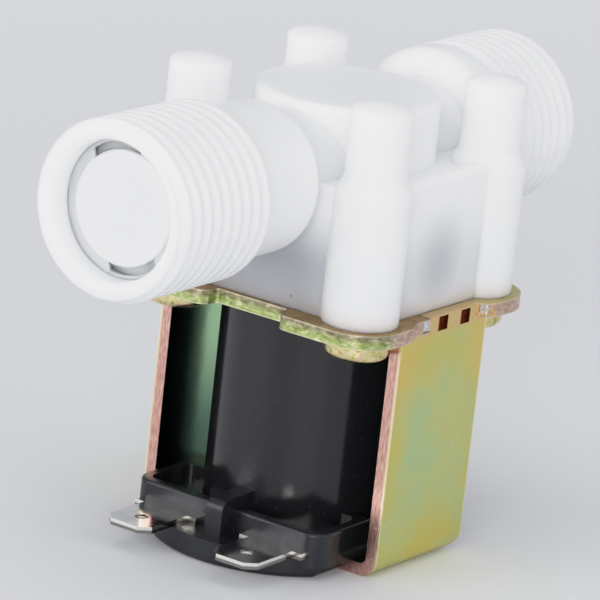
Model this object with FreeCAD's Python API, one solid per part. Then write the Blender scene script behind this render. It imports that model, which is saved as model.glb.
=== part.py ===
import FreeCAD, Part
import math
import os

# Pilot-operated water solenoid valve, normally closed, standing on its coil yoke.
# Millimetres. +Z up along the solenoid axis, +X along the flow from inlet to outlet.
# The origin is on the solenoid axis at the underside of the yoke.

V = FreeCAD.Vector
AXIS_X = V(1, 0, 0)
AXIS_Y = V(0, 1, 0)
AXIS_Z = V(0, 0, 1)

# --- driving dimensions: yoke and coil
SHEET = 1.5                      # yoke bracket sheet thickness
BRACKET_HALF_X = 8.8             # half the width of the bent strip
BRACKET_HALF_Y = 17.1            # half the outer width across the two walls
BEND_R = 2.4                     # outer bend radius of the strip
STRIP_CORNER_R = 2.6             # rounded rear corner of each wall at the bend
PLATE_Z0 = 29.25                 # underside of the yoke plate
PLATE_T = 1.75
PLATE_Z1 = PLATE_Z0 + PLATE_T
PLATE_HALF_Y = 18.4              # across the ears
PLATE_SIDE_Y = 17.4              # between the ears, almost flush with the walls
PLATE_SIDE_X = 7.6
PLATE_EAR_X = 17.45              # ears under the screw bosses
PLATE_WAIST_X = 14.9             # plate edge between the ears
EAR_STEP_Y = 5.1                 # where the waist steps square out to an ear
EAR_STEP_R = 0.5
EAR_NOSE_R = 1.6
EAR_CORNER_R = 5.2
STEP_R = 1.1
TAB_X0 = -3.4                    # wall tab that is staked into the plate
TAB_X1 = 7.0
TAB_CLEARANCE = 0.06
SWAGE_W = 1.9                    # two swaged pockets in each tab
SWAGE_H = 1.75
SWAGE_DEPTH = 0.9
SWAGE_XS = (-0.45, 4.15)
STAKE_W = 1.5                    # punch marks on the plate edge beside the tab
STAKE_DEPTH = 0.22
COIL_R = 12.0
COIL_Z0 = SHEET + 0.05
COIL_Z1 = PLATE_Z0 - 0.05
COIL_EDGE_R = 0.5
SKIN = 0.85                      # overmould cover over the bobbin flanges
BOBBIN_FLANGE_R = 11.0
BOBBIN_FLANGE_T = 1.2
BOBBIN_TUBE_R = 6.9
WINDING_R = 10.3
TAPE_T = 0.15
SLEEVE_R = 6.0
SLEEVE_Z1 = 13.0
CUP_END_T = 1.4

# --- driving dimensions: terminals and terminal base
BLADE_T = 0.8
BLADE_W = 6.3
BLADE_Y = 7.65
BLADE_Z0 = 2.8
BLADE_TIP_X = -25.0
BLADE_SHOULDER_X = -17.1
BLADE_ROOT_X = -12.6
BLADE_ROOT_W = 8.9
BLADE_CHAMFER = 1.2
BLADE_HOLE_R = 0.85
BLADE_HOLE_FROM_TIP = 3.3
SHELF_Z1 = BLADE_Z0
SHELF_ARC_R = 15.0
SHELF_FRONT_X = -20.4
SHELF_HALF_Y = 12.2
SHELF_REAR_X = -8.9
BLOCK_FRONT_X = -15.8
BLOCK_REAR_X = -5.0
BLOCK_HALF_Y = 13.6
BLOCK_Z1 = 5.8
BLOCK_CORNER_R = 2.4
RIM_T = 1.3
POCKET_Z0 = 4.5
RIB_HALF_Y = 1.15
RIB_COIL_Z = 7.3
RIB_NOSE_Z = 7.0
RIB_NOSE_X = -18.1
RIB_NOSE_R = 1.3
LEAD_R = 0.25

# --- driving dimensions: guide tube, plunger, diaphragm
TUBE_R = 4.9
TUBE_BORE_R = 4.2
TUBE_Z0 = 1.6
TUBE_END_T = 1.0
FLANGE_R = 12.4
FLANGE_Z1 = PLATE_Z1 + 4.0
DISH_R = 9.4
DISH_Z0 = PLATE_Z1 + 0.8
PLUNGER_R = 4.12
PLUNGER_STROKE = 2.2
PLUNGER_Z0 = TUBE_Z0 + TUBE_END_T + PLUNGER_STROKE
PLUNGER_Z1 = 32.0
SPRING_POCKET_R = 2.7
SPRING_POCKET_Z1 = PLUNGER_Z0 + 12.0
SPRING_R = 2.1
SPRING_WIRE_R = 0.22
SPRING_TURNS = 9
SEAL_R = 2.2
SEAL_PROUD = 1.0
SEAL_DEPTH = 1.8
RIM_Z0 = FLANGE_Z1
DIAPHRAGM_RIM_T = 1.6
DIAPHRAGM_RIM_R = 9.9
DIAPHRAGM_DISC_R = 7.4
DIAPHRAGM_DISC_T = 2.0
DIAPHRAGM_DISC_Z1 = RIM_Z0 + 1.8
DIAPHRAGM_WEB_T = 0.8
BLEED_R = 0.35                   # bleed hole through the web
INSERT_STEM_R = 2.2
INSERT_FLANGE_R = 6.6
INSERT_FLANGE_T = 1.2
INSERT_HEAD_R = 3.2
INSERT_HEAD_T = 1.4
PILOT_R = 0.5
NOZZLE_R = 1.2

# --- driving dimensions: body moulding
PIPE_Z = 46.1
INLET_END_X = -44.6
OUTLET_END_X = 34.8
THREAD_CREST_R = 20.955 / 2      # G 1/2, 14 threads to the inch
THREAD_ROOT_R = 18.631 / 2
THREAD_PITCH = 25.4 / 14
THREAD_END_CHAMFER = 0.9
INLET_THREAD_X1 = -27.0
OUTLET_THREAD_X0 = 21.0
INLET_COLLAR_X1 = -15.6
INLET_COLLAR_R = 8.95
INLET_COLLAR_EDGE_R = 2.2
OUTLET_COLLAR_X0 = 15.9
OUTLET_COLLAR_R = 10.35
OUTLET_COLLAR_EDGE_R = 2.2
NECK_R = 7.1
BORE_R = 7.0
BORE_INNER_R = 5.5
BORE_STEP_X = 18.0               # inside the collars, so the necks keep a full wall
STRAINER_SEAT_R = 8.0
STRAINER_SEAT_X = INLET_END_X + 5.8
MOUTH_R = 1.2
BOX_HALF_X = 14.3
BOX_HALF_Y = 15.5
BOX_Z1 = 46.4                    # roof of the box
BOX_RIM_Z1 = 47.2                # low rim along each side of the roof
BOX_RIM_T = 1.4
BOX_CORNER_R = 2.0
BOX_EDGE_R = 0.6
DOME_R = 11.0
DOME_Z1 = 54.3
DOME_EDGE_R = 0.8
POST_X = 11.75
POST_Y = 12.95
POST_R = 4.5
POST_TOP_R = 3.65
POST_SHOULDER_Z = 46.35
POST_SHOULDER_H = 1.9
POST_Z1 = 57.0
POST_EDGE_R = 0.6
POST_CROWN_H = 0.8               # the post ends are slightly domed
CAVITY_CLEARANCE = 0.1
CHAMBER_R = 9.9
CHAMBER_Z1 = 39.4
SEAT_R = 6.4
SEAT_BORE_R = 4.8
SCREW_R = 1.7
SCREW_HOLE_R = 1.72
SCREW_LENGTH = 12.0
SCREW_TIP = 1.5
SCREW_HEAD_R = 3.75
SCREW_HEAD_H = 2.3
SCREW_HEAD_EDGE_R = 0.9
SCREW_RECESS = 1.0
SCREW_RECESS_W = 0.9
SCREW_RECESS_L = 3.4

# --- driving dimensions: inlet strainer
DISC_R = 6.6
DISC_X0 = INLET_END_X + 2.5
DISC_T = 0.9
DISC_EDGE_R = 0.35
STRAINER_FIT = 0.03              # radial clearance of the strainer in its seat
STRAINER_RIM_T = 0.45            # thin rim that centres the disc in the bore
WINDOW_R = 7.6                   # two crescent windows let the water past the disc
WINDOW_W = 6.6
WINDOW_ANGLE = -16.0
CAGE_R = 5.9
CAGE_ANGLE = 12.0
CAGE_RIB_W = 1.6
CAGE_RIB_T = 1.0
SEAT_RING_T = 1.2                # closed ring that seats the strainer
CAGE_MOUTH_R = 4.8
MESH_T = 0.2
MESH_HOLE_R = 0.25
MESH_ROWS = 2
MESH_COLUMNS = 44


def cyl(r, z0, z1, x=0.0, y=0.0):
    return Part.makeCylinder(r, z1 - z0, V(x, y, z0), AXIS_Z)


def cyl_x(r, x0, x1, z=PIPE_Z):
    return Part.makeCylinder(r, x1 - x0, V(x0, 0, z), AXIS_X)


def box(x0, x1, y0, y1, z0, z1):
    return Part.makeBox(x1 - x0, y1 - y0, z1 - z0, V(x0, y0, z0))


def fuse_all(shapes):
    return shapes[0].multiFuse(shapes[1:]).removeSplitter()


def edges_at(shape, test):
    return [edge for edge in shape.Edges if test(edge)]


def flat_at_z(z):
    def test(edge):
        return abs(edge.BoundBox.ZMin - z) < 1e-6 and abs(edge.BoundBox.ZMax - z) < 1e-6
    return test


def vertical(edge):
    return edge.BoundBox.ZLength > 1e-3 and edge.BoundBox.XLength < 1e-6 and edge.BoundBox.YLength < 1e-6


def fillet_where(shape, radius, test):
    return shape.makeFillet(radius, edges_at(shape, test))


def revolve(points, axis_point, axis):
    face = Part.Face(Part.makePolygon(points + [points[0]]))
    return face.revolve(axis_point, axis, 360)


def corners(x, y):
    return [(sx * x, sy * y) for sx in (-1, 1) for sy in (-1, 1)]


def rounded_prism(points, radii, z0, z1):
    """A prism on a closed outline, with a radius given for each corner."""
    prism = Part.Face(Part.makePolygon(points + [points[0]])).extrude(V(0, 0, z1 - z0))
    for point, radius in zip(points, radii):
        if radius > 0:
            def at_corner(edge, p=point):
                b = edge.BoundBox
                return vertical(edge) and math.hypot(b.XMin - p.x, b.YMin - p.y) < 1e-6
            prism = fillet_where(prism, radius, at_corner)
    return prism


# ---------------------------------------------------------------- yoke

def side_profile():
    """The strip seen from the side, with its rear corner rounded at the bend."""
    sheet = box(-BRACKET_HALF_X, BRACKET_HALF_X, -2 * BRACKET_HALF_Y, 2 * BRACKET_HALF_Y, 0, PLATE_Z0)

    def rear_corner(edge):
        b = edge.BoundBox
        return b.YLength > BRACKET_HALF_Y and b.XMin > BRACKET_HALF_X - 1e-6 and b.ZMax < 1e-6
    return fillet_where(sheet, STRIP_CORNER_R, rear_corner)


def on_side(side, y0, y1):
    """The two Y limits of something that lies between y0 and y1 on one side."""
    return sorted((side * y0, side * y1))


def wall_tab(side):
    y_lo, y_hi = on_side(side, BRACKET_HALF_Y - SHEET, BRACKET_HALF_Y)
    return box(TAB_X0, TAB_X1, y_lo, y_hi, PLATE_Z0 - 0.5, PLATE_Z1)


def swage_pocket(side, x):
    y_lo, y_hi = on_side(side, BRACKET_HALF_Y - SWAGE_DEPTH, BRACKET_HALF_Y + 1)
    z0 = PLATE_Z0 - 0.2
    return box(x - SWAGE_W / 2, x + SWAGE_W / 2, y_lo, y_hi, z0, z0 + SWAGE_H)


def yoke_bracket():
    outer = box(-BRACKET_HALF_X, BRACKET_HALF_X, -BRACKET_HALF_Y, BRACKET_HALF_Y, 0, PLATE_Z0)
    inner = box(-BRACKET_HALF_X - 1, BRACKET_HALF_X + 1, SHEET - BRACKET_HALF_Y,
                BRACKET_HALF_Y - SHEET, SHEET, PLATE_Z0 + 1)

    def bend(z):
        def test(edge):
            b = edge.BoundBox
            return b.XLength > BRACKET_HALF_X and abs(b.ZMin - z) < 1e-6 and abs(b.ZMax - z) < 1e-6
        return test
    outer = fillet_where(outer, BEND_R, bend(0))
    inner = fillet_where(inner, BEND_R - SHEET, bend(SHEET))
    strip = outer.cut(inner).common(side_profile())
    strip = strip.cut(cyl(SLEEVE_R + 0.02, -1, SHEET + 1))
    bracket = fuse_all([strip, wall_tab(-1), wall_tab(1)])
    for side in (-1, 1):
        for x in SWAGE_XS:
            bracket = bracket.cut(swage_pocket(side, x))
    return bracket


def plate_outline():
    """H-shaped outline: four ears joined by a narrower waist, listed anticlockwise."""
    ear, waist, y_end, step = PLATE_EAR_X, PLATE_WAIST_X, PLATE_HALF_Y, EAR_STEP_Y
    quarter = [(waist, step, EAR_STEP_R), (ear, step, EAR_NOSE_R), (ear, y_end, EAR_CORNER_R),
               (PLATE_SIDE_X + STEP_R, y_end, STEP_R), (PLATE_SIDE_X - STEP_R, PLATE_SIDE_Y, STEP_R)]
    full = quarter
    full = full + [(-x, y, r) for x, y, r in reversed(quarter)]
    full = full + [(-x, -y, r) for x, y, r in quarter]
    full = full + [(x, -y, r) for x, y, r in reversed(quarter)]
    return [V(x, y, PLATE_Z0) for x, y, r in full], [r for x, y, r in full]


def yoke_plate():
    points, radii = plate_outline()
    plate = rounded_prism(points, radii, PLATE_Z0, PLATE_Z1)
    plate = plate.cut(cyl(TUBE_R + CAVITY_CLEARANCE, PLATE_Z0 - 1, PLATE_Z1 + 1))
    for x, y in corners(POST_X, POST_Y):
        plate = plate.cut(cyl(SCREW_R + 0.2, PLATE_Z0 - 1, PLATE_Z1 + 1, x, y))
    notch_y = BRACKET_HALF_Y - SHEET - TAB_CLEARANCE
    edge_y = PLATE_SIDE_Y - STAKE_DEPTH
    x0 = TAB_X0 - TAB_CLEARANCE
    x1 = TAB_X1 + TAB_CLEARANCE
    for side in (-1, 1):
        y_lo, y_hi = on_side(side, notch_y, PLATE_HALF_Y + 1)
        plate = plate.cut(box(x0, x1, y_lo, y_hi, PLATE_Z0 - 1, PLATE_Z1 + 1))
        y_lo, y_hi = on_side(side, edge_y, PLATE_HALF_Y + 1)
        plate = plate.cut(box(x0 - STAKE_W, x0 + 0.5, y_lo, y_hi, PLATE_Z0 + 0.2, PLATE_Z1 - 0.15))
        plate = plate.cut(box(x1 - 0.5, x1 + STAKE_W, y_lo, y_hi, PLATE_Z0 + 0.2, PLATE_Z1 - 0.15))
    return plate


def flux_cup():
    cup = fillet_where(cyl(SLEEVE_R, 0, SLEEVE_Z1), 0.4, flat_at_z(0))
    return cup.cut(cyl(TUBE_R + CAVITY_CLEARANCE, CUP_END_T, SLEEVE_Z1 + 1))


def cover_screw(x, y):
    head = fillet_where(cyl(SCREW_HEAD_R, PLATE_Z0 - SCREW_HEAD_H, PLATE_Z0, x, y),
                        SCREW_HEAD_EDGE_R, flat_at_z(PLATE_Z0 - SCREW_HEAD_H))
    z_tip = PLATE_Z0 + SCREW_LENGTH
    shank = cyl(SCREW_R, PLATE_Z0, z_tip - SCREW_TIP, x, y)
    tip = Part.makeCone(SCREW_R, SCREW_R * 0.4, SCREW_TIP, V(x, y, z_tip - SCREW_TIP), AXIS_Z)
    screw = fuse_all([head, shank, tip])
    z0 = PLATE_Z0 - SCREW_HEAD_H - 1
    z1 = PLATE_Z0 - SCREW_HEAD_H + SCREW_RECESS
    half_l, half_w = SCREW_RECESS_L / 2, SCREW_RECESS_W / 2
    screw = screw.cut(box(x - half_l, x + half_l, y - half_w, y + half_w, z0, z1))
    return screw.cut(box(x - half_w, x + half_w, y - half_l, y + half_l, z0, z1))


def cover_screws():
    return Part.makeCompound([cover_screw(x, y) for x, y in corners(POST_X, POST_Y)])


# ---------------------------------------------------------------- coil

def bobbin_flange_zs():
    low = COIL_Z0 + SKIN
    high = COIL_Z1 - SKIN
    return low, low + BOBBIN_FLANGE_T, high - BOBBIN_FLANGE_T, high


def coil_bobbin():
    low0, low1, high0, high1 = bobbin_flange_zs()
    spool = fuse_all([cyl(BOBBIN_TUBE_R, COIL_Z0, COIL_Z1),
                      cyl(BOBBIN_FLANGE_R, low0, low1),
                      cyl(BOBBIN_FLANGE_R, high0, high1)])
    spool = spool.cut(cyl(TUBE_R + CAVITY_CLEARANCE, COIL_Z0 - 1, COIL_Z1 + 1))
    return spool.cut(cyl(SLEEVE_R + CAVITY_CLEARANCE, COIL_Z0 - 1, SLEEVE_Z1 + 0.2))


def coil_winding():
    low1, high0 = bobbin_flange_zs()[1:3]
    return cyl(WINDING_R, low1, high0).cut(cyl(BOBBIN_TUBE_R, low1 - 1, high0 + 1))


def winding_tape():
    low1, high0 = bobbin_flange_zs()[1:3]
    return cyl(WINDING_R + TAPE_T, low1, high0).cut(cyl(WINDING_R, low1 - 1, high0 + 1))


def winding_lead(side):
    start = V(-8.75, side * 6.1, BLADE_Z0 + BLADE_T + LEAD_R)
    end = V(BLADE_ROOT_X - 0.8, side * BLADE_Y, BLADE_Z0 + BLADE_T + LEAD_R)
    run = end - start
    return Part.makeCylinder(LEAD_R, run.Length, start, run)


def winding_leads():
    return Part.makeCompound([winding_lead(-1), winding_lead(1)])


def terminal(side):
    y = side * BLADE_Y
    half = BLADE_W / 2
    root_half = BLADE_ROOT_W / 2
    tip, shoulder, root, c = BLADE_TIP_X, BLADE_SHOULDER_X, BLADE_ROOT_X, BLADE_CHAMFER
    outline = [V(tip, y - half + c, BLADE_Z0), V(tip + c, y - half, BLADE_Z0),
               V(shoulder, y - half, BLADE_Z0), V(shoulder, y - root_half, BLADE_Z0),
               V(root, y - root_half, BLADE_Z0), V(root, y + root_half, BLADE_Z0),
               V(shoulder, y + root_half, BLADE_Z0), V(shoulder, y + half, BLADE_Z0),
               V(tip + c, y + half, BLADE_Z0), V(tip, y + half - c, BLADE_Z0)]
    blade = Part.Face(Part.makePolygon(outline + [outline[0]])).extrude(V(0, 0, BLADE_T))
    hole = cyl(BLADE_HOLE_R, BLADE_Z0 - 1, BLADE_Z0 + BLADE_T + 1, tip + BLADE_HOLE_FROM_TIP, y)
    return blade.cut(hole)


def terminal_shelf():
    """Round-nosed shelf under the blades."""
    centre_x = SHELF_FRONT_X + SHELF_ARC_R
    nose = cyl(SHELF_ARC_R, 0, SHELF_Z1, centre_x)
    shelf = nose.common(box(SHELF_FRONT_X - 1, SHELF_REAR_X, -SHELF_HALF_Y, SHELF_HALF_Y, 0, SHELF_Z1))
    return fillet_where(shelf, 0.6, flat_at_z(0))


def terminal_block():
    x0, x1, y, r = BLOCK_FRONT_X, BLOCK_REAR_X, BLOCK_HALF_Y, BLOCK_CORNER_R
    points = [V(x0, -y, COIL_Z0), V(x1, -y, COIL_Z0), V(x1, y, COIL_Z0), V(x0, y, COIL_Z0)]
    block = rounded_prism(points, [r, 0, 0, r], COIL_Z0, BLOCK_Z1)
    block = fillet_where(block, 0.4, flat_at_z(BLOCK_Z1))
    pocket_y0 = RIB_HALF_Y + 0.5
    for side in (-1, 1):
        y_lo, y_hi = on_side(side, pocket_y0, y - RIM_T)
        pocket = box(x0 + RIM_T, x1 - 1.5, y_lo, y_hi, POCKET_Z0, BLOCK_Z1 + 1)
        pocket = fillet_where(pocket, 1.0, vertical)
        block = block.cut(pocket)
    return block


def terminal_rib():
    """Narrow wall that parts the two blades, with a square front and a rounded nose."""
    foot_z = SHELF_Z1 - 0.5
    back_x = -COIL_R + 1
    outline = [V(back_x, -RIB_HALF_Y, RIB_COIL_Z), V(RIB_NOSE_X, -RIB_HALF_Y, RIB_NOSE_Z),
               V(RIB_NOSE_X, -RIB_HALF_Y, foot_z), V(back_x, -RIB_HALF_Y, foot_z)]
    rib = Part.Face(Part.makePolygon(outline + [outline[0]])).extrude(V(0, 2 * RIB_HALF_Y, 0))

    def nose(edge):
        b = edge.BoundBox
        return b.XMax < RIB_NOSE_X + 1e-6 and abs(b.ZMin - RIB_NOSE_Z) < 1e-6
    return fillet_where(rib, RIB_NOSE_R, nose)


def coil_overmould(terminals, leads):
    low0, low1, high0, high1 = bobbin_flange_zs()
    shell = fillet_where(cyl(COIL_R, COIL_Z0, COIL_Z1), COIL_EDGE_R, flat_at_z(COIL_Z1))
    moulding = fuse_all([shell, terminal_shelf(), terminal_block(), terminal_rib()])
    moulding = moulding.cut(cyl(BOBBIN_FLANGE_R, low0, high1))
    moulding = moulding.cut(cyl(BOBBIN_TUBE_R, COIL_Z0 - 1, COIL_Z1 + 1))
    for piece in terminals + leads.Solids:
        moulding = moulding.cut(piece)
    return moulding


# ---------------------------------------------------------------- moving parts

def guide_tube():
    tube = fuse_all([cyl(TUBE_R, TUBE_Z0, PLATE_Z1 + 0.5), cyl(FLANGE_R, PLATE_Z1, FLANGE_Z1)])
    tube = fillet_where(tube, 0.6, flat_at_z(TUBE_Z0))
    tube = tube.cut(cyl(DISH_R, DISH_Z0, FLANGE_Z1 + 1))
    return tube.cut(cyl(TUBE_BORE_R, TUBE_Z0 + TUBE_END_T, FLANGE_Z1 + 1))


def plunger():
    slug = fillet_where(cyl(PLUNGER_R, PLUNGER_Z0, PLUNGER_Z1), 0.4, flat_at_z(PLUNGER_Z0))
    slug = slug.cut(cyl(SPRING_POCKET_R, PLUNGER_Z0 - 1, SPRING_POCKET_Z1))
    slug = slug.cut(cyl(SEAL_R, PLUNGER_Z1 - SEAL_DEPTH, PLUNGER_Z1 + 1))
    for angle in (0, 180):
        groove = box(PLUNGER_R - 0.5, PLUNGER_R + 1, -0.5, 0.5, PLUNGER_Z0 - 1, PLUNGER_Z1 + 1)
        groove.rotate(V(0, 0, 0), AXIS_Z, angle)
        slug = slug.cut(groove)
    return slug


def plunger_seal():
    plug = cyl(SEAL_R, PLUNGER_Z1 - SEAL_DEPTH, PLUNGER_Z1 + SEAL_PROUD)
    return fillet_where(plug, 0.3, flat_at_z(PLUNGER_Z1 + SEAL_PROUD))


def plunger_spring():
    z0 = TUBE_Z0 + TUBE_END_T + SPRING_WIRE_R
    z1 = SPRING_POCKET_Z1 - SPRING_WIRE_R
    pitch = (z1 - z0) / SPRING_TURNS
    helix = Part.makeHelix(pitch, z1 - z0, SPRING_R)
    section = Part.Wire(Part.makeCircle(SPRING_WIRE_R, V(SPRING_R, 0, 0), AXIS_Y))
    wire = Part.Wire(helix.Edges).makePipeShell([section], True, True)
    wire.translate(V(0, 0, z0))
    return wire


def diaphragm():
    z0 = RIM_Z0
    disc_z0 = DIAPHRAGM_DISC_Z1 - DIAPHRAGM_DISC_T
    web_z0 = z0 + (DIAPHRAGM_RIM_T - DIAPHRAGM_WEB_T) / 2
    rim = cyl(FLANGE_R, z0, z0 + DIAPHRAGM_RIM_T).cut(cyl(DIAPHRAGM_RIM_R, z0 - 1, z0 + 3))
    web = cyl(DIAPHRAGM_RIM_R + 0.2, web_z0, web_z0 + DIAPHRAGM_WEB_T)
    disc = cyl(DIAPHRAGM_DISC_R, disc_z0, DIAPHRAGM_DISC_Z1)
    rubber = fuse_all([rim, web, disc])
    rubber = rubber.cut(cyl(INSERT_STEM_R, disc_z0 - 1, DIAPHRAGM_DISC_Z1 + 1))
    return rubber.cut(cyl(BLEED_R, web_z0 - 1, web_z0 + 3, 0, (DIAPHRAGM_RIM_R + DIAPHRAGM_DISC_R) / 2))


def diaphragm_insert():
    disc_z0 = DIAPHRAGM_DISC_Z1 - DIAPHRAGM_DISC_T
    flange_z0 = disc_z0 - INSERT_FLANGE_T
    nozzle_z0 = PLUNGER_Z1 + SEAL_PROUD
    hub = fuse_all([cyl(INSERT_FLANGE_R, flange_z0, disc_z0),
                    cyl(INSERT_STEM_R, flange_z0, DIAPHRAGM_DISC_Z1 + INSERT_HEAD_T),
                    cyl(INSERT_HEAD_R, DIAPHRAGM_DISC_Z1, DIAPHRAGM_DISC_Z1 + INSERT_HEAD_T),
                    cyl(NOZZLE_R, nozzle_z0, flange_z0 + 0.5)])
    return hub.cut(cyl(PILOT_R, nozzle_z0 - 1, DIAPHRAGM_DISC_Z1 + INSERT_HEAD_T + 1))


# ---------------------------------------------------------------- body

def thread_ridge(length):
    """Helical ridge of a 55 degree pipe thread along +X from a free end at the origin."""
    run = length + 2 * THREAD_PITCH
    foot_r = THREAD_ROOT_R - 0.12
    foot_half = THREAD_PITCH * 0.46
    crest_half = THREAD_PITCH * 0.13
    helix = Part.makeHelix(THREAD_PITCH, run, THREAD_ROOT_R)
    section = Part.makePolygon([V(foot_r, 0, -foot_half), V(THREAD_CREST_R, 0, -crest_half),
                                V(THREAD_CREST_R, 0, crest_half), V(foot_r, 0, foot_half),
                                V(foot_r, 0, -foot_half)])
    ridge = Part.Wire(helix.Edges).makePipeShell([section], True, True)
    ridge.rotate(V(0, 0, 0), AXIS_Y, 90)
    ridge.translate(V(-THREAD_PITCH, 0, 0))
    high = THREAD_CREST_R + 0.2
    free_end = high - THREAD_END_CHAMFER
    run_out = THREAD_ROOT_R - 0.5
    trim = revolve([V(0, 0, 1), V(0, 0, free_end), V(high - free_end, 0, high),
                    V(length - high + run_out, 0, high), V(length, 0, run_out), V(length, 0, 1)],
                   V(0, 0, 0), AXIS_X)
    return ridge.common(trim)


def rounded_pipe(r, x0, x1, edge_x, edge_r):
    pipe = cyl_x(r, x0, x1)

    def at_end(edge):
        return abs(edge.BoundBox.XMin - edge_x) < 1e-6 and abs(edge.BoundBox.XMax - edge_x) < 1e-6
    return fillet_where(pipe, edge_r, at_end)


def threaded_pipe(end_x, inner_x):
    length = abs(inner_x - end_x)
    pipe = cyl_x(THREAD_ROOT_R, 0, length, 0).fuse(thread_ridge(length))
    if inner_x < end_x:
        pipe.rotate(V(0, 0, 0), AXIS_Z, 180)
    pipe.translate(V(end_x, 0, PIPE_Z))
    return pipe


def plain_pipe_solids():
    return [rounded_pipe(INLET_COLLAR_R, INLET_THREAD_X1, INLET_COLLAR_X1,
                         INLET_COLLAR_X1, INLET_COLLAR_EDGE_R),
            rounded_pipe(OUTLET_COLLAR_R, OUTLET_COLLAR_X0, OUTLET_THREAD_X0,
                         OUTLET_COLLAR_X0, OUTLET_COLLAR_EDGE_R),
            cyl_x(NECK_R, INLET_COLLAR_X1 - 2, OUTLET_COLLAR_X0 + 2)]


def screw_post(x, y):
    lower = cyl(POST_R, PLATE_Z1, POST_SHOULDER_Z, x, y)
    shoulder = Part.makeCone(POST_R, POST_TOP_R, POST_SHOULDER_H, V(x, y, POST_SHOULDER_Z), AXIS_Z)
    crown_r = (POST_TOP_R ** 2 + POST_CROWN_H ** 2) / (2 * POST_CROWN_H)
    crown = Part.makeSphere(crown_r, V(x, y, POST_Z1 - crown_r))
    upper = cyl(POST_TOP_R, POST_SHOULDER_Z, POST_Z1 + 1, x, y).common(crown)
    upper = fillet_where(upper, POST_EDGE_R, flat_at_z(POST_Z1 - POST_CROWN_H))
    return fuse_all([lower, shoulder, upper])


def chamber_box():
    """Rounded box whose roof lies between two low side rims that join the posts."""
    shell = box(-BOX_HALF_X, BOX_HALF_X, -BOX_HALF_Y, BOX_HALF_Y, PLATE_Z1, BOX_RIM_Z1)
    shell = fillet_where(shell, BOX_CORNER_R, vertical)
    shell = fillet_where(shell, BOX_EDGE_R, flat_at_z(BOX_RIM_Z1))
    rim_y = BOX_HALF_Y - BOX_RIM_T
    return shell.cut(box(-BOX_HALF_X - 1, BOX_HALF_X + 1, -rim_y, rim_y, BOX_Z1, BOX_RIM_Z1 + 1))


def strainer_seat():
    """Counterbore for the strainer, flared at the mouth by a quarter round."""
    x_end, r = INLET_END_X, STRAINER_SEAT_R
    centre_x = x_end + MOUTH_R
    slant = MOUTH_R * math.sqrt(0.5)
    lip = V(x_end, 0, PIPE_Z + r + MOUTH_R)
    middle = V(centre_x - slant, 0, PIPE_Z + r + MOUTH_R - slant)
    throat = V(centre_x, 0, PIPE_Z + r)
    straight = [throat, V(STRAINER_SEAT_X, 0, PIPE_Z + r), V(STRAINER_SEAT_X, 0, PIPE_Z),
                V(x_end - 1, 0, PIPE_Z), V(x_end - 1, 0, PIPE_Z + r + MOUTH_R), lip]
    round_edge = Part.Arc(lip, middle, throat).toShape()
    outline = Part.Wire([round_edge] + Part.makePolygon(straight).Edges)
    return Part.Face(outline).revolve(V(0, 0, PIPE_Z), AXIS_X, 360)


def flow_cavities():
    rim_z1 = RIM_Z0 + DIAPHRAGM_RIM_T
    annulus = cyl(CHAMBER_R, rim_z1 - 0.5, CHAMBER_Z1).cut(cyl(SEAT_R, DIAPHRAGM_DISC_Z1, CHAMBER_Z1 + 1))
    drop = cyl(CHAMBER_R, DIAPHRAGM_DISC_Z1, PIPE_Z).cut(cyl(SEAT_R, DIAPHRAGM_DISC_Z1 - 1, PIPE_Z + 1))
    drop = drop.common(box(-CHAMBER_R, 0, -BORE_INNER_R, BORE_INNER_R, DIAPHRAGM_DISC_Z1, PIPE_Z))
    return [cyl(FLANGE_R + CAVITY_CLEARANCE, PLATE_Z1 - 1, rim_z1),
            annulus,
            drop,
            strainer_seat(),
            cyl_x(BORE_R, INLET_END_X - 1, -BORE_STEP_X),
            cyl_x(BORE_INNER_R, -BORE_STEP_X - 1, -(SEAT_R + CHAMBER_R) / 2),
            cyl(SEAT_BORE_R, DIAPHRAGM_DISC_Z1 - 1, PIPE_Z),
            Part.makeSphere(SEAT_BORE_R, V(0, 0, PIPE_Z)),
            cyl_x(BORE_INNER_R, 0, BORE_STEP_X + 1),
            cyl_x(BORE_R, BORE_STEP_X, OUTLET_END_X + 1)]


def valve_body():
    solids = [chamber_box(),
              fillet_where(cyl(DOME_R, BOX_Z1 - 4, DOME_Z1), DOME_EDGE_R, flat_at_z(DOME_Z1))]
    solids += plain_pipe_solids()
    solids += [screw_post(x, y) for x, y in corners(POST_X, POST_Y)]
    body = fuse_all(solids)
    body = body.fuse(threaded_pipe(INLET_END_X, INLET_THREAD_X1 + 0.3))
    body = body.fuse(threaded_pipe(OUTLET_END_X, OUTLET_THREAD_X0 - 0.3))
    for cavity in flow_cavities():
        body = body.cut(cavity)
    for x, y in corners(POST_X, POST_Y):
        body = body.cut(cyl(SCREW_HOLE_R, PLATE_Z1 - 1, PLATE_Z0 + SCREW_LENGTH + 1, x, y))
    return body


# ---------------------------------------------------------------- strainer

def radial_bar(r0, r1, width, x0, x1, angle):
    bar = box(x0, x1, -width / 2, width / 2, PIPE_Z + r0, PIPE_Z + r1)
    bar.rotate(V(0, 0, PIPE_Z), AXIS_X, angle)
    return bar


def strainer_disc():
    """Raised blank disc on a thin rim that has two crescent windows, opposite each other."""
    back_x = DISC_X0 + DISC_T

    def front_edge(edge):
        return edge.BoundBox.XMax < DISC_X0 + 1e-6
    disc = fillet_where(cyl_x(DISC_R, DISC_X0, back_x), DISC_EDGE_R, front_edge)
    rim = cyl_x(STRAINER_SEAT_R - STRAINER_FIT, back_x - STRAINER_RIM_T, back_x)
    bounds = cyl_x(WINDOW_R, DISC_X0, back_x + 1)
    for angle in (WINDOW_ANGLE, WINDOW_ANGLE + 180):
        bar = radial_bar(DISC_R / 2, STRAINER_SEAT_R, WINDOW_W, DISC_X0, back_x + 1, angle)
        rim = rim.cut(bar.common(bounds))
    return disc.fuse(rim)


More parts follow.
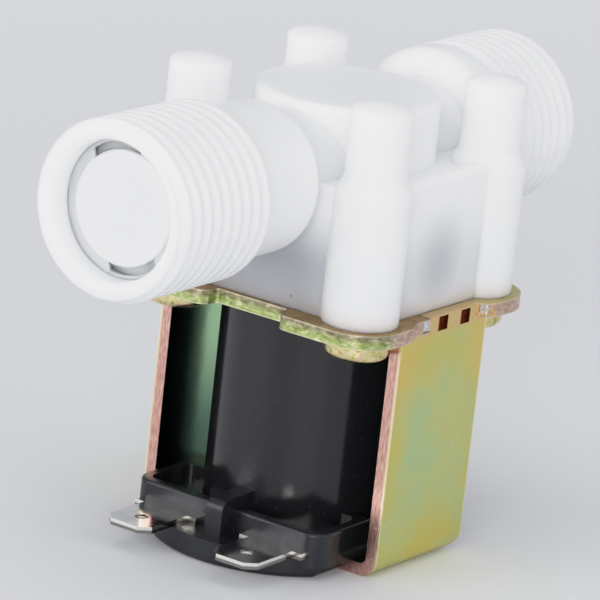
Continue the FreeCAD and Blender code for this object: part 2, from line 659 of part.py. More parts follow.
def inlet_strainer():
    """Front disc on four ribs, with a closed seat ring behind them."""
    ring_x0 = STRAINER_SEAT_X - SEAT_RING_T
    ring = cyl_x(STRAINER_SEAT_R - STRAINER_FIT, ring_x0, STRAINER_SEAT_X)
    ring = ring.cut(cyl_x(CAGE_MOUTH_R, ring_x0 - 1, STRAINER_SEAT_X + 1))
    pieces = [strainer_disc(), ring]
    for quarter in range(4):
        pieces.append(radial_bar(CAGE_R - CAGE_RIB_T, CAGE_R, CAGE_RIB_W,
                                 DISC_X0 + DISC_T - 0.3, ring_x0 + 0.3, CAGE_ANGLE + 90 * quarter))
    return fuse_all(pieces)


def strainer_mesh():
    """Moulded screen sleeve round the ribs, between the disc and the seat ring."""
    x0 = DISC_X0 + DISC_T
    x1 = STRAINER_SEAT_X - SEAT_RING_T
    inner = math.hypot(CAGE_R, CAGE_RIB_W / 2) + 0.02
    sleeve = cyl_x(inner + MESH_T, x0, x1).cut(cyl_x(inner, x0 - 1, x1 + 1))
    step = (x1 - x0) / MESH_ROWS
    holes = []
    for row in range(MESH_ROWS):
        x = x0 + (row + 0.5) * step
        for column in range(MESH_COLUMNS):
            angle = math.radians(360 * (column + 0.5 * (row % 2)) / MESH_COLUMNS)
            outward = V(0, math.cos(angle), math.sin(angle))
            start = V(x, 0, PIPE_Z) + outward * (inner - 0.5)
            holes.append(Part.makeCylinder(MESH_HOLE_R, MESH_T + 1, start, outward))
    return sleeve.cut(Part.makeCompound(holes))


def main():
    os.makedirs("parts", exist_ok=True)
    terminals = [terminal(-1), terminal(1)]
    leads = winding_leads()
    nodes = {
        "valve_body": valve_body(),
        "inlet_strainer": inlet_strainer(),
        "strainer_mesh": strainer_mesh(),
        "yoke_plate": yoke_plate(),
        "yoke_bracket": yoke_bracket(),
        "flux_cup": flux_cup(),
        "cover_screws": cover_screws(),
        "coil_overmould": coil_overmould(terminals, leads),
        "coil_bobbin": coil_bobbin(),
        "coil_winding": coil_winding(),
        "winding_tape": winding_tape(),
        "winding_leads": leads,
        "terminal_front": terminals[0],
        "terminal_rear": terminals[1],
        "guide_tube": guide_tube(),
        "plunger": plunger(),
        "plunger_seal": plunger_seal(),
        "plunger_spring": plunger_spring(),
        "diaphragm": diaphragm(),
        "diaphragm_insert": diaphragm_insert(),
    }
    for name, shape in nodes.items():
        shape.exportStep(os.path.join("parts", name + ".step"))


main()
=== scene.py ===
import math

import bpy
from mathutils import Matrix, Vector


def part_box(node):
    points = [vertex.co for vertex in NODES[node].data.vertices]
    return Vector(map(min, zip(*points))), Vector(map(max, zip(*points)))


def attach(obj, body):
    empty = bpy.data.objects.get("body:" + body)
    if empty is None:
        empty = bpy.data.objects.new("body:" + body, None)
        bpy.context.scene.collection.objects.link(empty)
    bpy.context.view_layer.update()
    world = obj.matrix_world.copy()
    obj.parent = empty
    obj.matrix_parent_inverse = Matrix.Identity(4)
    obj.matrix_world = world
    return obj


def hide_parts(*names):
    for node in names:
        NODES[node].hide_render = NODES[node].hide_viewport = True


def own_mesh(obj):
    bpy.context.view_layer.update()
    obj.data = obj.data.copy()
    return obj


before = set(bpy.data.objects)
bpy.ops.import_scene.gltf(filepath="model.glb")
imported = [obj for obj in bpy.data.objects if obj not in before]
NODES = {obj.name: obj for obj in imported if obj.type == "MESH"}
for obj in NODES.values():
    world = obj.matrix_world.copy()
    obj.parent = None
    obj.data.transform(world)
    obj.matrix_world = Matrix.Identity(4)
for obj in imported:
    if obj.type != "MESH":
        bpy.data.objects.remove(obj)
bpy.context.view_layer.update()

# Looks for a water solenoid valve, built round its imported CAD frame.
# Metres, +Z up the solenoid axis, +X along the flow. Shader lengths are in millimetres.

MM = 0.001

# Camera
CAMERA_AZIMUTH = -56.03
CAMERA_ELEVATION = 16.11
CAMERA_ROLL = 6.31
CAMERA_LENS = 304.56
CAMERA_SENSOR = 36.0
CAMERA_DISTANCE = 593.84 * MM
CAMERA_TARGET = Vector((0, 0, 45.0 * MM))
CAMERA_RIGHT_OFFSET = -4.67 * MM
CAMERA_UP_OFFSET = -16.03 * MM
CAMERA_CLIP = (0.05, 20.0)

# Return spring
SPRING_WIRE = 0.44 * MM
SPRING_TURNS = 9
STEPS_PER_TURN = 40
WIRE_SIDES = 12

# Stage
FLOOR_HALF_WIDTH = 4.0
# Painted light: the floor is painted lighter further behind the object
FLOOR_NEAR = (0.80, 0.805, 0.825)
FLOOR_FAR = (0.95, 0.95, 0.96)
FLOOR_BLEND = (80.0, 340.0)  # millimetres behind the object
LIGHT_AIM = Vector((0, 0, 30 * MM))
# Each light's name, direction as (camera right, camera back, up), distance, (width, height) and power
LIGHTS = (
    ("left_softbox", (-0.95, 0.35, 0.2), 0.9, (0.6, 0.7), 3.4),
    ("front_softbox", (-0.1, 1.0, -0.12), 1.4, (0.8, 0.8), 9.5),
    ("top_softbox", (0.0, 0.15, 1.0), 1.0, (1.0, 1.0), 2.6),
    ("right_fill", (0.9, 0.5, 0.3), 1.1, (0.5, 0.7), 1.6),
)
SKY_COLOUR = (0.70, 0.72, 0.76, 1)
SKY_STRENGTH = 0.70
TONE_WHITE = 2.0
TONES = ((0.30, 0.30), (0.62, 0.61), (0.85, 0.76), (1.10, 0.845), (1.45, 0.89), (TONE_WHITE, 0.93))
COMBINED_CURVE = 3  # of the view's red, green, blue and combined curves

# Sockets of the Mix node, which has one set for values and one for colours
MIX_FACTOR = 0
MIX_VALUES = (2, 3)
MIX_COLOURS = (6, 7)
MIX_VALUE_OUT = 0
MIX_COLOUR_OUT = 2

# Places on the object where the paint changes, in millimetres, with Z from its foot and X and Y from
# its axis. A fade runs from none of the paint at its first number to all of it at its second.
# Painted shade on the valve box: the pipes' shadow on the end walls, shade low on the side walls, the dark
# insert seen through them, and the dome top
END_WALL_X = (13.9, 14.6)
END_WALL_SIDE_FADE_Y = (9.4, 9.0)
END_WALL_SHADE_FADE_Y = (9.0, 5.0)
SIDE_WALL_Y = (15.2, 15.8)
SIDE_WALL_FADE_X = (8.4, 7.8)
WALL_SHADE_FADE_Z = (44.5, 36.0)
BLOTCH_CENTRE = (-0.5, 0, 36.5)
BLOTCH_RADII = (9.0, 400.0, 9.5)
DOME_TOP_CENTRE = (0, 0, 54.3)
DOME_TOP_RADII = (30.0, 30.0, 1.0)
SIDE_WALL_SHADE = 0.32  # shares of the full shade
BLOTCH_SHADE = 0.72
DOME_TOP_SHADE = 0.22
WALL_FACE_SOFT = 0.2
# Painted shade, darker towards the body's foot
BODY_LOW_SHADE_FADE_Z = (48.0, 33.0)
BODY_FOOT_FADE_Z = (33.5, 31.3)
SPECK_CENTRES = (
    (-14.3, -4.86, 32.45),
    (-11.0, -13.8, 57.0),
    (12.6, -13.6, 57.0),
    (-3.2, -10.2, 54.3),
)
SPECK_RADII = (0.24, 0.24, 0.24)
BRACKET_RIM_FADE_X = (4.5, 8.6)
BRACKET_LOW_FADE_Z = (10.0, 2.0)
BRACKET_TOP_FADE_Z = (21.0, 28.0)
UPPER_CORNER_FADE_Z = (16.0, 27.0)
UPPER_CORNER_FADE_X = (3.0, 8.2)
BRACKET_TAB_FADE_Z = (28.0, 29.6)
# Painted highlight along the strip's side edges
BRACKET_EDGE_HIGHLIGHT_FADE_X = (8.5, 8.75)
# Painted highlight along the outer side of the sheared edges
BRACKET_LIP_HIGHLIGHT_FADE_Y = (16.75, 17.0)
# Painted light in the middle of the inner faces, painted shade round it
INNER_LIT_FADE_X = (6.0, 1.0)
INNER_LIT_FADE_Z = (8.0, 22.0)
INWARD_FADE = (-5.0, -12.0)  # of the distance from the axis times how far the face points outward
# Painted shade on the top of the web
WEB_TOP_SHADE_FADE_Z = (3.0, 2.0)
POCKET_Z = (29.0, 30.85)
POCKET_Y = (16.0, 17.04)
POCKET_SOFT_Y = 0.02
DIMPLE_CENTRE = (5.4, -17.1, 13.7)
DIMPLE_RADII = (0.9, 0.9, 0.9)
PLATE_OLIVE_FADE_X = (-2.0, 8.0)
PLATE_BROWN_FADE_Z = (29.9, 30.6)
PLATE_PINK_FADE_X = (-13.6, -11.6)
# Paler bands along the top and bottom rims of the plate's edge
PLATE_TOP_RIM_FADE_Z = (30.75, 30.95)
PLATE_LOW_RIM_FADE_Z = (29.5, 29.3)
PLATE_PALE_RIM_SHARE = 0.45
STAKED_SPANS_X = ((-5.0, -3.3), (6.9, 8.6))
STAKED_Y = (17.0, 17.3)
MARK_SOFT = 0.05  # at the ends of a pocket or a staking mark
COIL_BASE_END_X = (-12.2, -11.4)  # the duller base ends between these
COIL_DUST_FADE_Y = (2.0, -5.0)
COIL_DUST = (0.10, 0.26)  # how white the dust is on the coil and on the base
# Painted highlight on the blades' upper rims, painted shade on the rims below
BLADE_RIM_HIGHLIGHT_FADE_Z = (3.1, 3.3)
WINDING_PITCH = 0.1  # height of one turn of the winding


class Look:
    """A material with one Principled shader, and short calls that add nodes in front of it."""

    def __init__(self, name):
        self.material = bpy.data.materials.new(name)
        self.material.use_nodes = True
        self.tree = self.material.node_tree
        self.shader = self.tree.nodes["Principled BSDF"]
        places = self.node("ShaderNodeTexCoord")
        self.mm = self.node(
            "ShaderNodeVectorMath",
            {"Vector": places.outputs["Object"], "Scale": 1 / MM},
            operation="SCALE",
        ).outputs["Vector"]
        self.facing = places.outputs["Normal"]

    def node(self, kind, inputs=None, **settings):
        made = self.tree.nodes.new(kind)
        for key, value in settings.items():
            setattr(made, key, value)
        for key, value in (inputs or {}).items():
            self.feed(made.inputs[key], value)
        return made

    def feed(self, socket, value):
        if isinstance(value, bpy.types.NodeSocket):
            self.tree.links.new(value, socket)
        else:
            socket.default_value = value

    def set(self, **values):
        """Shader inputs by name, with an underscore for each space."""
        for key, value in values.items():
            self.feed(self.shader.inputs[key.replace("_", " ")], value)

    def math(self, operation, a, b=0.0):
        return self.node("ShaderNodeMath", {0: a, 1: b}, operation=operation).outputs[0]

    def axis(self, letter, source=None):
        split = self.node("ShaderNodeSeparateXYZ", {0: source or self.mm})
        return split.outputs[letter]

    def ramp_to(self, value, start, end, low=0.0, high=1.0):
        """low up to start, high from end, and smooth between them."""
        return self.node(
            "ShaderNodeMapRange",
            {"Value": value, "From Min": start, "From Max": end, "To Min": low, "To Max": high},
            interpolation_type="SMOOTHSTEP",
        ).outputs["Result"]

    def noise(self, size, detail=3.0, stretch=(1, 1, 1), distortion=0.0):
        """Noise with features about size millimetres across, from 0 to 1."""
        place = self.node(
            "ShaderNodeMapping", {"Vector": self.mm, "Scale": [1 / (size * s) for s in stretch]}
        )
        return self.node(
            "ShaderNodeTexNoise",
            {
                "Vector": place.outputs["Vector"],
                "Scale": 1.0,
                "Detail": detail,
                "Distortion": distortion,
            },
        ).outputs["Fac"]

    def colours(self, factor, stops):
        """A colour ramp with stops of (place, colour)."""
        made = self.node("ShaderNodeValToRGB", {"Fac": factor})
        elements = made.color_ramp.elements
        while len(elements) < len(stops):
            elements.new(0.5)
        for element, (place, colour) in zip(elements, stops):
            element.position = place
            element.color = (*colour, 1)
        return made.outputs["Color"]

    def mix(self, factor, a, b, blend="MIX"):
        made = self.node("ShaderNodeMix", {MIX_FACTOR: factor}, data_type="RGBA", blend_type=blend)
        for socket, value in zip(MIX_COLOURS, (a, b)):
            if isinstance(value, tuple) and len(value) == 3:
                value = (*value, 1)
            self.feed(made.inputs[socket], value)
        return made.outputs[MIX_COLOUR_OUT]

    def mix_values(self, factor, a, b):
        low, high = MIX_VALUES
        made = self.node("ShaderNodeMix", {MIX_FACTOR: factor, low: a, high: b})
        return made.outputs[MIX_VALUE_OUT]

    def size_of(self, letter, source=None):
        return self.math("ABSOLUTE", self.axis(letter, source))

    def between(self, value, low, high, soft):
        """1 where the value is from low to high, and 0 beyond soft outside that."""
        rise = self.ramp_to(value, low - soft, low)
        fall = self.ramp_to(value, high, high + soft, 1.0, 0.0)
        return self.both(rise, fall)

    def both(self, *masks):
        """The masks or shares multiplied, so 1 only where each of them is."""
        joined = masks[0]
        for mask in masks[1:]:
            joined = self.math("MULTIPLY", joined, mask)
        return joined

    def either(self, *masks):
        """The highest of the masks."""
        joined = masks[0]
        for mask in masks[1:]:
            joined = self.math("MAXIMUM", joined, mask)
        return joined

    def near(self, centre, radii):
        """1 at the centre, falling smoothly to 0 on an ellipsoid with these radii."""
        offset = self.node("ShaderNodeVectorMath", {0: self.mm, 1: centre}, operation="SUBTRACT")
        scaled = self.node(
            "ShaderNodeVectorMath", {0: offset.outputs[0], 1: radii}, operation="DIVIDE"
        )
        length = self.node("ShaderNodeVectorMath", {0: scaled.outputs[0]}, operation="LENGTH")
        return self.ramp_to(length.outputs["Value"], 0.0, 1.0, 1.0, 0.0)

    def bumps(self, *layers):
        """Each layer is (height from 0 to 1, its depth in millimetres)."""
        normal = None
        for height, depth in layers:
            inputs = {"Height": height, "Distance": depth * MM, "Strength": 1.0}
            if normal:
                inputs["Normal"] = normal
            normal = self.node("ShaderNodeBump", inputs).outputs["Normal"]
        self.set(Normal=normal)


def painted_box_shade(look):
    """Painted shade on the valve box, 0 to 1: the pipes' shadow on the end walls, shade low on the side
    walls, the dark insert seen through them and shade on the dome top.
    """
    low = look.ramp_to(look.axis("Z"), *WALL_SHADE_FADE_Z)
    # painted shadow of the pipes on the end walls
    end_wall = look.both(
        look.between(look.size_of("X"), *END_WALL_X, WALL_FACE_SOFT),
        look.ramp_to(look.size_of("Y"), *END_WALL_SIDE_FADE_Y),
        look.ramp_to(look.size_of("Y"), *END_WALL_SHADE_FADE_Y, 0.85, 1.0),
        low,
    )
    # painted shade low on the side walls
    side_wall = look.both(
        look.between(look.size_of("Y"), *SIDE_WALL_Y, WALL_FACE_SOFT),
        look.ramp_to(look.size_of("X"), *SIDE_WALL_FADE_X),
    )
    # painted shade where the dark insert shows through the side walls
    blotch = look.near(BLOTCH_CENTRE, BLOTCH_RADII)
    side_shade = look.either(look.both(low, SIDE_WALL_SHADE), look.both(blotch, BLOTCH_SHADE))
    # painted shade on the dome top
    dome_top = look.near(DOME_TOP_CENTRE, DOME_TOP_RADII)
    return look.either(
        end_wall, look.both(side_wall, side_shade), look.both(dome_top, DOME_TOP_SHADE)
    )


def nylon_colour(look):
    """Milky white, with painted shade on the valve box and low down, and warm beside the plate."""
    cloud = look.noise(9.0, 2.0)
    colour = look.colours(cloud, [(0.3, (0.965, 0.97, 0.975)), (0.7, (0.975, 0.98, 0.985))])
    colour = look.mix(painted_box_shade(look), colour, (0.44, 0.45, 0.47))
    # painted shade: darker towards the bottom
    painted_low_shade = look.ramp_to(look.axis("Z"), *BODY_LOW_SHADE_FADE_Z)
    colour = look.mix(painted_low_shade, colour, (0.88, 0.885, 0.90), "MULTIPLY")
    beside_plate = look.ramp_to(look.axis("Z"), *BODY_FOOT_FADE_Z, 0.0, 0.7)
    colour = look.mix(beside_plate, colour, (0.96, 0.86, 0.79), "MULTIPLY")
    for centre in SPECK_CENTRES:
        colour = look.mix(look.near(centre, SPECK_RADII), colour, (0.16, 0.12, 0.11))
    return colour


def white_nylon():
    """Milky moulded nylon: light goes some way in, and the greyer walls are painted shade."""
    look = Look("white_nylon")
    look.set(
        Base_Color=nylon_colour(look),
        Subsurface_Weight=1.0,
        Subsurface_Radius=(1.0, 0.97, 0.94),
        Subsurface_Scale=2.4 * MM,
        IOR=1.53,
        Roughness=look.ramp_to(look.noise(3.0), 0.3, 0.7, 0.36, 0.46),
    )
    look.bumps((look.noise(0.6, 2.0), 0.006), (look.noise(4.0, 2.0), 0.03))
    return look.material


def bracket_face(look):
    """Olive in the middle of the strip, straw at its rims, deeper straw towards its upper corners and a
    painted highlight on its side edges.
    """
    clouds = look.noise(6.0, 2.0, distortion=0.4)
    base = look.colours(
        clouds,
        [(0.30, (0.53, 0.66, 0.33)), (0.50, (0.60, 0.66, 0.28)), (0.70, (0.66, 0.65, 0.25))],
    )
    patchy = look.ramp_to(look.noise(5.0, 2.0), 0.35, 0.65, 0.35, 1.0)
    rim = look.either(
        look.ramp_to(look.size_of("X"), *BRACKET_RIM_FADE_X),
        look.ramp_to(look.axis("Z"), *BRACKET_LOW_FADE_Z),
        look.ramp_to(look.axis("Z"), *BRACKET_TOP_FADE_Z),
    )
    base = look.mix(look.both(rim, patchy), base, (0.70, 0.62, 0.16))
    upper_corner = look.both(
        look.ramp_to(look.axis("Z"), *UPPER_CORNER_FADE_Z),
        look.ramp_to(look.size_of("X"), *UPPER_CORNER_FADE_X, 0.0, 0.75),
    )
    base = look.mix(upper_corner, base, (0.82, 0.60, 0.17))
    tab = look.ramp_to(look.axis("Z"), *BRACKET_TAB_FADE_Z, 0.0, 0.8)
    base = look.mix(tab, base, (0.78, 0.54, 0.26))
    # painted highlight along the strip's side edges
    corner = look.ramp_to(look.size_of("X"), *BRACKET_EDGE_HIGHLIGHT_FADE_X)
    return look.mix(corner, base, (0.95, 0.82, 0.50))


def bracket_edges(look, base, sheared, grain):
    """Pink on the sheared edges, with a painted highlight along their outer side."""
    cut_metal = look.colours(
        grain, [(0.32, (0.50, 0.27, 0.22)), (0.5, (0.66, 0.38, 0.32)), (0.7, (0.80, 0.52, 0.43))]
    )
    base = look.mix(sheared, base, cut_metal)
    # painted highlight along the outer side of the sheared edges
    lip = look.both(sheared, look.ramp_to(look.size_of("Y"), *BRACKET_LIP_HIGHLIGHT_FADE_Y))
    return look.mix(lip, base, (0.95, 0.78, 0.50))


def bracket_inside(look, base, inner):
    """Inner faces green, with painted light in the middle and painted shade round it, painted shade on the
    web's top, and brown pockets in the tabs.
    """
    # painted light in the middle of the inner faces, dark teal painted shade towards their sides and
    # bottom
    middle = look.both(
        look.ramp_to(look.size_of("X"), *INNER_LIT_FADE_X),
        look.ramp_to(look.axis("Z"), *INNER_LIT_FADE_Z, 0.3, 1.0),
    )
    base = look.mix(inner, base, look.mix(middle, (0.07, 0.15, 0.14), (0.42, 0.66, 0.38)))
    # painted shade on the top of the web
    web_top_shade = look.both(
        look.ramp_to(look.axis("Z", look.facing), 0.5, 0.8),
        look.ramp_to(look.axis("Z"), *WEB_TOP_SHADE_FADE_Z),
    )
    base = look.mix(web_top_shade, base, (0.20, 0.18, 0.10))
    pocket = look.both(
        look.between(look.axis("Z"), *POCKET_Z, MARK_SOFT),
        look.between(look.size_of("Y"), *POCKET_Y, POCKET_SOFT_Y),
        look.ramp_to(inner, 0.0, 0.5, 1.0, 0.0),
    )
    return look.mix(pocket, base, (0.30, 0.13, 0.08))


def zinc_bracket():
    """Yellow chromate on zinc: olive in the middle, straw at the rims, pink on the sheared edges."""
    look = Look("zinc_bracket")
    sheared = look.ramp_to(look.size_of("X", look.facing), 0.5, 0.9)
    grain = look.noise(0.22, 3.0, stretch=(1, 1, 5))
    outward = look.math("MULTIPLY", look.axis("Y", look.facing), look.axis("Y"))
    inner = look.ramp_to(outward, *INWARD_FADE)
    base = bracket_edges(look, bracket_face(look), sheared, grain)
    rough = look.ramp_to(look.noise(6.0), 0.3, 0.7, 0.22, 0.34)
    look.set(
        Base_Color=bracket_inside(look, base, inner),
        Metallic=1.0,
        Roughness=look.ramp_to(inner, 0.0, 1.0, rough, 0.15),
    )
    look.bumps(
        (look.noise(0.35, 2.0), 0.004),
        (look.noise(7.0, 2.0), 0.04),
        (look.both(sheared, grain), 0.02),
        (look.near(DIMPLE_CENTRE, DIMPLE_RADII), -0.10),
    )
    return look.material


def plate_edge(look, mottle):
    """Mottled green over brown at the inlet end, pink beyond it, and paler along both rims."""
    green = look.colours(
        mottle,
        [
            (0.30, (0.24, 0.28, 0.09)),
            (0.45, (0.38, 0.46, 0.16)),
            (0.58, (0.50, 0.55, 0.26)),
            (0.72, (0.74, 0.78, 0.52)),
        ],
    )
    brown = look.colours(
        mottle, [(0.30, (0.17, 0.14, 0.08)), (0.50, (0.34, 0.31, 0.18)), (0.72, (0.60, 0.55, 0.40))]
    )
    pink = look.colours(
        mottle, [(0.30, (0.46, 0.31, 0.24)), (0.50, (0.62, 0.45, 0.36)), (0.72, (0.78, 0.62, 0.48))]
    )
    edge = look.mix(look.ramp_to(look.axis("Z"), *PLATE_BROWN_FADE_Z), green, brown)
    edge = look.mix(look.ramp_to(look.axis("X"), *PLATE_PINK_FADE_X), edge, pink)
    # paler along the top and bottom rims of the edge
    pale_rims = look.either(
        look.ramp_to(look.axis("Z"), *PLATE_TOP_RIM_FADE_Z),
        look.ramp_to(look.axis("Z"), *PLATE_LOW_RIM_FADE_Z),
    )
    return look.mix(look.both(pale_rims, PLATE_PALE_RIM_SHARE), edge, (0.82, 0.74, 0.58))


def plate_flats(look, mottle):
    """Brown flat faces, turning olive towards the outlet."""
    top = look.colours(
        mottle, [(0.3, (0.30, 0.19, 0.10)), (0.5, (0.42, 0.27, 0.10)), (0.7, (0.55, 0.36, 0.10))]
    )
    return look.mix(look.ramp_to(look.axis("X"), *PLATE_OLIVE_FADE_X), top, (0.58, 0.50, 0.20))


def staking_marks(look, flat):
    """Where the plate's edge is staked beside the bracket's tabs, 0 to 1."""
    spans = [look.between(look.axis("X"), *span, MARK_SOFT) for span in STAKED_SPANS_X]
    return look.both(
        look.either(*spans),
        look.between(look.size_of("Y"), *STAKED_Y, MARK_SOFT),
        look.ramp_to(flat, 0.0, 0.5, 1.0, 0.0),
    )


def zinc_plate():
    """The same plating on a thicker blanked plate: mottled round its edge, silver where it is staked."""
    look = Look("zinc_plate")
    mottle = look.noise(0.6, 4.0, stretch=(1.6, 1.6, 0.8), distortion=0.5)
    flat = look.ramp_to(look.size_of("Z", look.facing), 0.4, 0.8)
    base = look.mix(flat, plate_edge(look, mottle), plate_flats(look, mottle))
    bare = look.colours(look.noise(0.4, 2.0), [(0.35, (0.45, 0.48, 0.50)), (0.6, (0.86, 0.89, 0.92))])
    look.set(
        Base_Color=look.mix(staking_marks(look, flat), base, bare),
        Metallic=1.0,
        Roughness=look.ramp_to(look.noise(2.0), 0.3, 0.7, 0.28, 0.44),
    )
    look.bumps((mottle, 0.05), (look.noise(5.0, 2.0), 0.04))
    return look.material


def zinc_screw():
    """The same plating on the screws, with painted glints: darker in the hollows of its mottle and orange
    on the high spots.
    """
    look = Look("zinc_screw")
    glints = look.noise(1.1, 4.0, distortion=0.8)
    # the mottle's dark and orange ends are painted glints over the plating colours
    base = look.colours(
        glints,
        [
            (0.30, (0.20, 0.13, 0.06)),
            (0.42, (0.62, 0.56, 0.22)),
            (0.55, (0.82, 0.70, 0.42)),
            (0.70, (0.84, 0.46, 0.34)),
        ],
    )
    look.set(Base_Color=base, Metallic=1.0, Roughness=0.27)
    look.bumps((glints, 0.04))
    return look.material


def overmould_marks(look, base_part):
    """How much dust and scratches show: all over the coil, and most in patches on the base, 0 to 1."""
    dust = look.ramp_to(look.noise(0.28, 2.0), 0.68, 0.80)
    hairs = look.ramp_to(look.noise(0.5, 1.0, stretch=(0.3, 6, 0.3), distortion=1.5), 0.70, 0.78)
    marks = look.either(dust, look.both(base_part, hairs))
    patchy = look.both(
        base_part,
        look.ramp_to(look.noise(4.0, 2.0), 0.45, 0.65),
        look.ramp_to(look.axis("Y"), *COIL_DUST_FADE_Y),
    )
    return look.both(marks, look.ramp_to(patchy, 0.0, 1.0, *COIL_DUST))


def black_overmould():
    """Glossy black moulding on the coil, with a duller base that carries dust and fine scratches."""
    look = Look("black_overmould")
    base_part = look.ramp_to(look.axis("X"), *COIL_BASE_END_X, 1.0, 0.0)
    colour = look.mix(base_part, (0.011, 0.011, 0.013), (0.009, 0.010, 0.013))
    gloss = look.ramp_to(look.noise(5.0), 0.3, 0.7, 0.13, 0.17)
    dull = look.ramp_to(look.noise(2.0), 0.35, 0.65, 0.26, 0.38)
    look.set(
        Base_Color=look.mix(overmould_marks(look, base_part), colour, (0.50, 0.52, 0.55)),
        Roughness=look.mix_values(base_part, gloss, dull),
        IOR=1.50,
    )
    look.bumps((look.noise(0.5, 2.0), 0.002), (look.noise(6.0, 2.0), 0.015))
    return look.material


def tinned_brass():
    """Bright tin over brass, smooth enough to mirror the black base, with a painted highlight on the upper
    rims and painted shade on the rims underneath.
    """
    look = Look("tinned_brass")
    streaks = look.noise(0.3, 3.0, stretch=(10, 1, 1))
    patches = look.noise(2.0, 2.0)
    colour = look.colours(patches, [(0.3, (0.74, 0.74, 0.75)), (0.7, (0.88, 0.87, 0.86))])
    # painted highlight on the upper rims of the blades and painted shade on the rims below
    rims = look.ramp_to(look.size_of("Z", look.facing), 0.8, 0.4)
    upper = look.ramp_to(look.axis("Z"), *BLADE_RIM_HIGHLIGHT_FADE_Z)
    rim_highlight_and_shade = look.mix(upper, (0.26, 0.25, 0.23), (0.96, 0.93, 0.86))
    colour = look.mix(rims, colour, rim_highlight_and_shade)
    look.set(
        Base_Color=colour,
        Metallic=1.0,
        Roughness=look.ramp_to(streaks, 0.3, 0.7, 0.09, 0.15),
    )
    look.bumps((streaks, 0.0015), (look.noise(2.5, 2.0), 0.008))
    return look.material


def darker(colour, share):
    return tuple(share * part for part in colour)


def plain_plastic(name, colour, roughness):
    """One colour of plastic or rubber, a little uneven in colour and gloss."""
    look = Look(name)
    look.set(
        Base_Color=look.colours(look.noise(4.0), [(0.3, darker(colour, 0.93)), (0.7, colour)]),
        Roughness=look.ramp_to(look.noise(1.5), 0.3, 0.7, roughness - 0.05, roughness + 0.05),
        IOR=1.5,
    )
    look.bumps((look.noise(0.4, 2.0), 0.005))
    return look.material


def turned_steel(name, colour, roughness):
    """Bright metal with fine rings round the axis."""
    look = Look(name)
    rings = look.noise(0.2, 2.0, stretch=(30, 30, 1))
    look.set(
        Base_Color=look.colours(rings, [(0.3, darker(colour, 0.85)), (0.7, colour)]),
        Metallic=1.0,
        Roughness=look.ramp_to(rings, 0.3, 0.7, roughness - 0.06, roughness + 0.08),
    )
    look.bumps((rings, 0.004))
    return look.material


def copper_wire():
    """Enamelled copper in close turns round the axis, with painted shade in the grooves between turns."""
    look = Look("copper_wire")
    height = look.math("MULTIPLY", look.axis("Z"), math.pi / WINDING_PITCH)
    turns = look.math("ABSOLUTE", look.math("SINE", height))
    # painted shade in the grooves between turns
    look.set(
        Base_Color=look.colours(turns, [(0.1, (0.28, 0.09, 0.04)), (0.6, (0.80, 0.36, 0.18))]),
        Metallic=1.0,
        Roughness=look.ramp_to(look.noise(1.0), 0.3, 0.7, 0.25, 0.38),
        Coat_Weight=0.5,
    )
    look.bumps((turns, 0.08))
    return look.material


def paint():
    """Gives every CAD node its material."""
    nylon = white_nylon()
    natural = plain_plastic("natural_nylon", (0.74, 0.71, 0.63), 0.45)
    acetal = plain_plastic("acetal", (0.80, 0.80, 0.78), 0.38)
    rubber = plain_plastic("black_rubber", (0.035, 0.035, 0.036), 0.70)
    tape = plain_plastic("polyester_tape", (0.66, 0.45, 0.10), 0.25)
    stainless = turned_steel("stainless", (0.62, 0.62, 0.61), 0.28)
    tin = tinned_brass()
    copper = copper_wire()
    chosen = {
        "valve_body": nylon,
        "inlet_strainer": nylon,
        "strainer_mesh": plain_plastic("nylon_screen", (0.88, 0.88, 0.87), 0.5),
        "yoke_plate": zinc_plate(),
        "yoke_bracket": zinc_bracket(),
        "flux_cup": zinc_bracket(),
        "cover_screws": zinc_screw(),
        "coil_overmould": black_overmould(),
        "coil_bobbin": natural,
        "coil_winding": copper,
        "winding_tape": tape,
        "winding_leads": copper,
        "terminal_front": tin,
        "terminal_rear": tin,
        "guide_tube": acetal,
        "plunger": stainless,
        "plunger_seal": rubber,
        "plunger_spring": stainless,  # not shown: return_spring stands for it
        "diaphragm": rubber,
        "diaphragm_insert": acetal,
    }
    for name, node in NODES.items():
        node.data.materials.clear()
        node.data.materials.append(chosen[name])


def wire_ring(outward, centre):
    """Points round the wire where it crosses the plane of the axis and outward."""
    points = []
    for side in range(WIRE_SIDES):
        angle = 2 * math.pi * side / WIRE_SIDES
        across = outward * math.cos(angle) + Vector((0, 0, math.sin(angle)))
        points.append(centre + across * SPRING_WIRE / 2)
    return points


def spring_mesh(low, high):
    """Round wire wound up the axis to fill the height from low to high."""
    coil_radius = (high.x - low.x - SPRING_WIRE) / 2
    rise = high.z - low.z - SPRING_WIRE
    count = SPRING_TURNS * STEPS_PER_TURN
    points = []
    for step in range(count + 1):
        turn = 2 * math.pi * step / STEPS_PER_TURN
        outward = Vector((math.cos(turn), math.sin(turn), 0))
        height = low.z + SPRING_WIRE / 2 + rise * step / count
        points += wire_ring(outward, outward * coil_radius + Vector((0, 0, height)))
    faces = [tuple(range(WIRE_SIDES)), tuple(reversed(range(count * WIRE_SIDES, len(points))))]
    for start in range(0, count * WIRE_SIDES, WIRE_SIDES):
        for side in range(WIRE_SIDES):
            here = start + side
            beside = start + (side + 1) % WIRE_SIDES
            faces.append((here, here + WIRE_SIDES, beside + WIRE_SIDES, beside))
    mesh = bpy.data.meshes.new("return_spring")
    mesh.from_pydata(points, [], faces)
    mesh.shade_smooth()
    return mesh


def make_spring():
    """The return spring, built at one length; in the valve the plunger shortens it by its travel."""
    low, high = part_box("plunger_spring")
    mesh = spring_mesh(low, high)
    mesh.materials.append(turned_steel("spring_steel", (0.60, 0.60, 0.60), 0.26))
    spring = bpy.data.objects.new("return_spring", mesh)
    bpy.context.scene.collection.objects.link(spring)
    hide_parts("plunger_spring")
    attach(spring, "valve")
    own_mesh(spring)


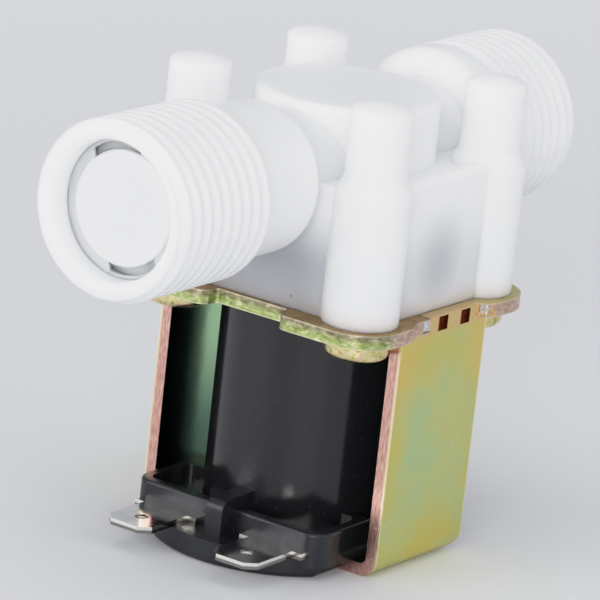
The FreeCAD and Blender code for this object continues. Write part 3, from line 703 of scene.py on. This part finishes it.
def camera_axes():
    """The camera's right, up and back directions, with its roll."""
    azimuth = math.radians(CAMERA_AZIMUTH)
    elevation = math.radians(CAMERA_ELEVATION)
    roll = math.radians(CAMERA_ROLL)
    level_right = Vector((math.cos(azimuth), math.sin(azimuth), 0))
    back = Vector(
        (
            math.sin(azimuth) * math.cos(elevation),
            -math.cos(azimuth) * math.cos(elevation),
            math.sin(elevation),
        )
    )
    level_up = back.cross(level_right)
    right = level_right * math.cos(roll) + level_up * math.sin(roll)
    return right, back.cross(right), back


def make_camera():
    """A long lens at the wanted azimuth, elevation and roll."""
    right, up, back = camera_axes()
    data = bpy.data.cameras.new("camera")
    data.sensor_width = CAMERA_SENSOR
    data.lens = CAMERA_LENS
    data.clip_start, data.clip_end = CAMERA_CLIP
    camera = bpy.data.objects.new("camera", data)
    place = CAMERA_TARGET + right * CAMERA_RIGHT_OFFSET + up * CAMERA_UP_OFFSET
    place = place + back * CAMERA_DISTANCE
    turned = Matrix((right, up, back)).transposed().to_4x4()
    camera.matrix_world = Matrix.Translation(place) @ turned
    bpy.context.scene.collection.objects.link(camera)
    bpy.context.scene.camera = camera


def area_light(name, direction, distance, size, power):
    """A soft white box that faces the middle of the object."""
    data = bpy.data.lights.new(name, "AREA")
    data.shape = "RECTANGLE"
    data.size, data.size_y = size
    data.energy = power
    light = bpy.data.objects.new(name, data)
    outward = direction.normalized()
    light.location = LIGHT_AIM + outward * distance
    light.rotation_mode = "QUATERNION"
    light.rotation_quaternion = outward.to_track_quat("Z", "Y")
    bpy.context.scene.collection.objects.link(light)


def set_tones():
    """Plain colours, with bright whites eased in below the top of the scale."""
    view = bpy.context.scene.view_settings
    view.view_transform = "Standard"
    view.use_curve_mapping = True
    mapping = view.curve_mapping
    mapping.white_level = (TONE_WHITE, TONE_WHITE, TONE_WHITE)
    curve = mapping.curves[COMBINED_CURVE]
    curve.points[1].location = (1.0, TONES[-1][1])
    for level, shown in TONES[:-1]:
        curve.points.new(level / TONE_WHITE, shown)
    mapping.update()


def light_stage():
    """The soft boxes and a plain sky."""
    right, _, back = camera_axes()
    for name, (across, nearer, rise), distance, size, power in LIGHTS:
        direction = right * across + back * nearer + Vector((0, 0, rise))
        area_light(name, direction, distance, size, power)
    world = bpy.data.worlds.new("studio")
    world.use_nodes = True
    sky = world.node_tree.nodes["Background"]
    sky.inputs["Color"].default_value = SKY_COLOUR
    sky.inputs["Strength"].default_value = SKY_STRENGTH
    bpy.context.scene.world = world


def floor_paint():
    """Pale floor with painted light: lighter further behind the object."""
    look = Look("floor")
    away = -camera_axes()[-1]
    distance = look.node("ShaderNodeVectorMath", {0: look.mm, 1: away}, operation="DOT_PRODUCT")
    behind = look.ramp_to(distance.outputs["Value"], *FLOOR_BLEND)
    look.set(Base_Color=look.mix(behind, FLOOR_NEAR, FLOOR_FAR), Roughness=0.55)
    return look.material


def make_floor():
    """A plain square floor at the object's foot."""
    half = FLOOR_HALF_WIDTH
    mesh = bpy.data.meshes.new("floor")
    corners = [(-half, -half, 0), (half, -half, 0), (half, half, 0), (-half, half, 0)]
    mesh.from_pydata(corners, [], [(0, 1, 2, 3)])
    mesh.materials.append(floor_paint())
    floor = bpy.data.objects.new("floor", mesh)
    bpy.context.scene.collection.objects.link(floor)


set_tones()
paint()
make_spring()
make_camera()
light_stage()
make_floor()
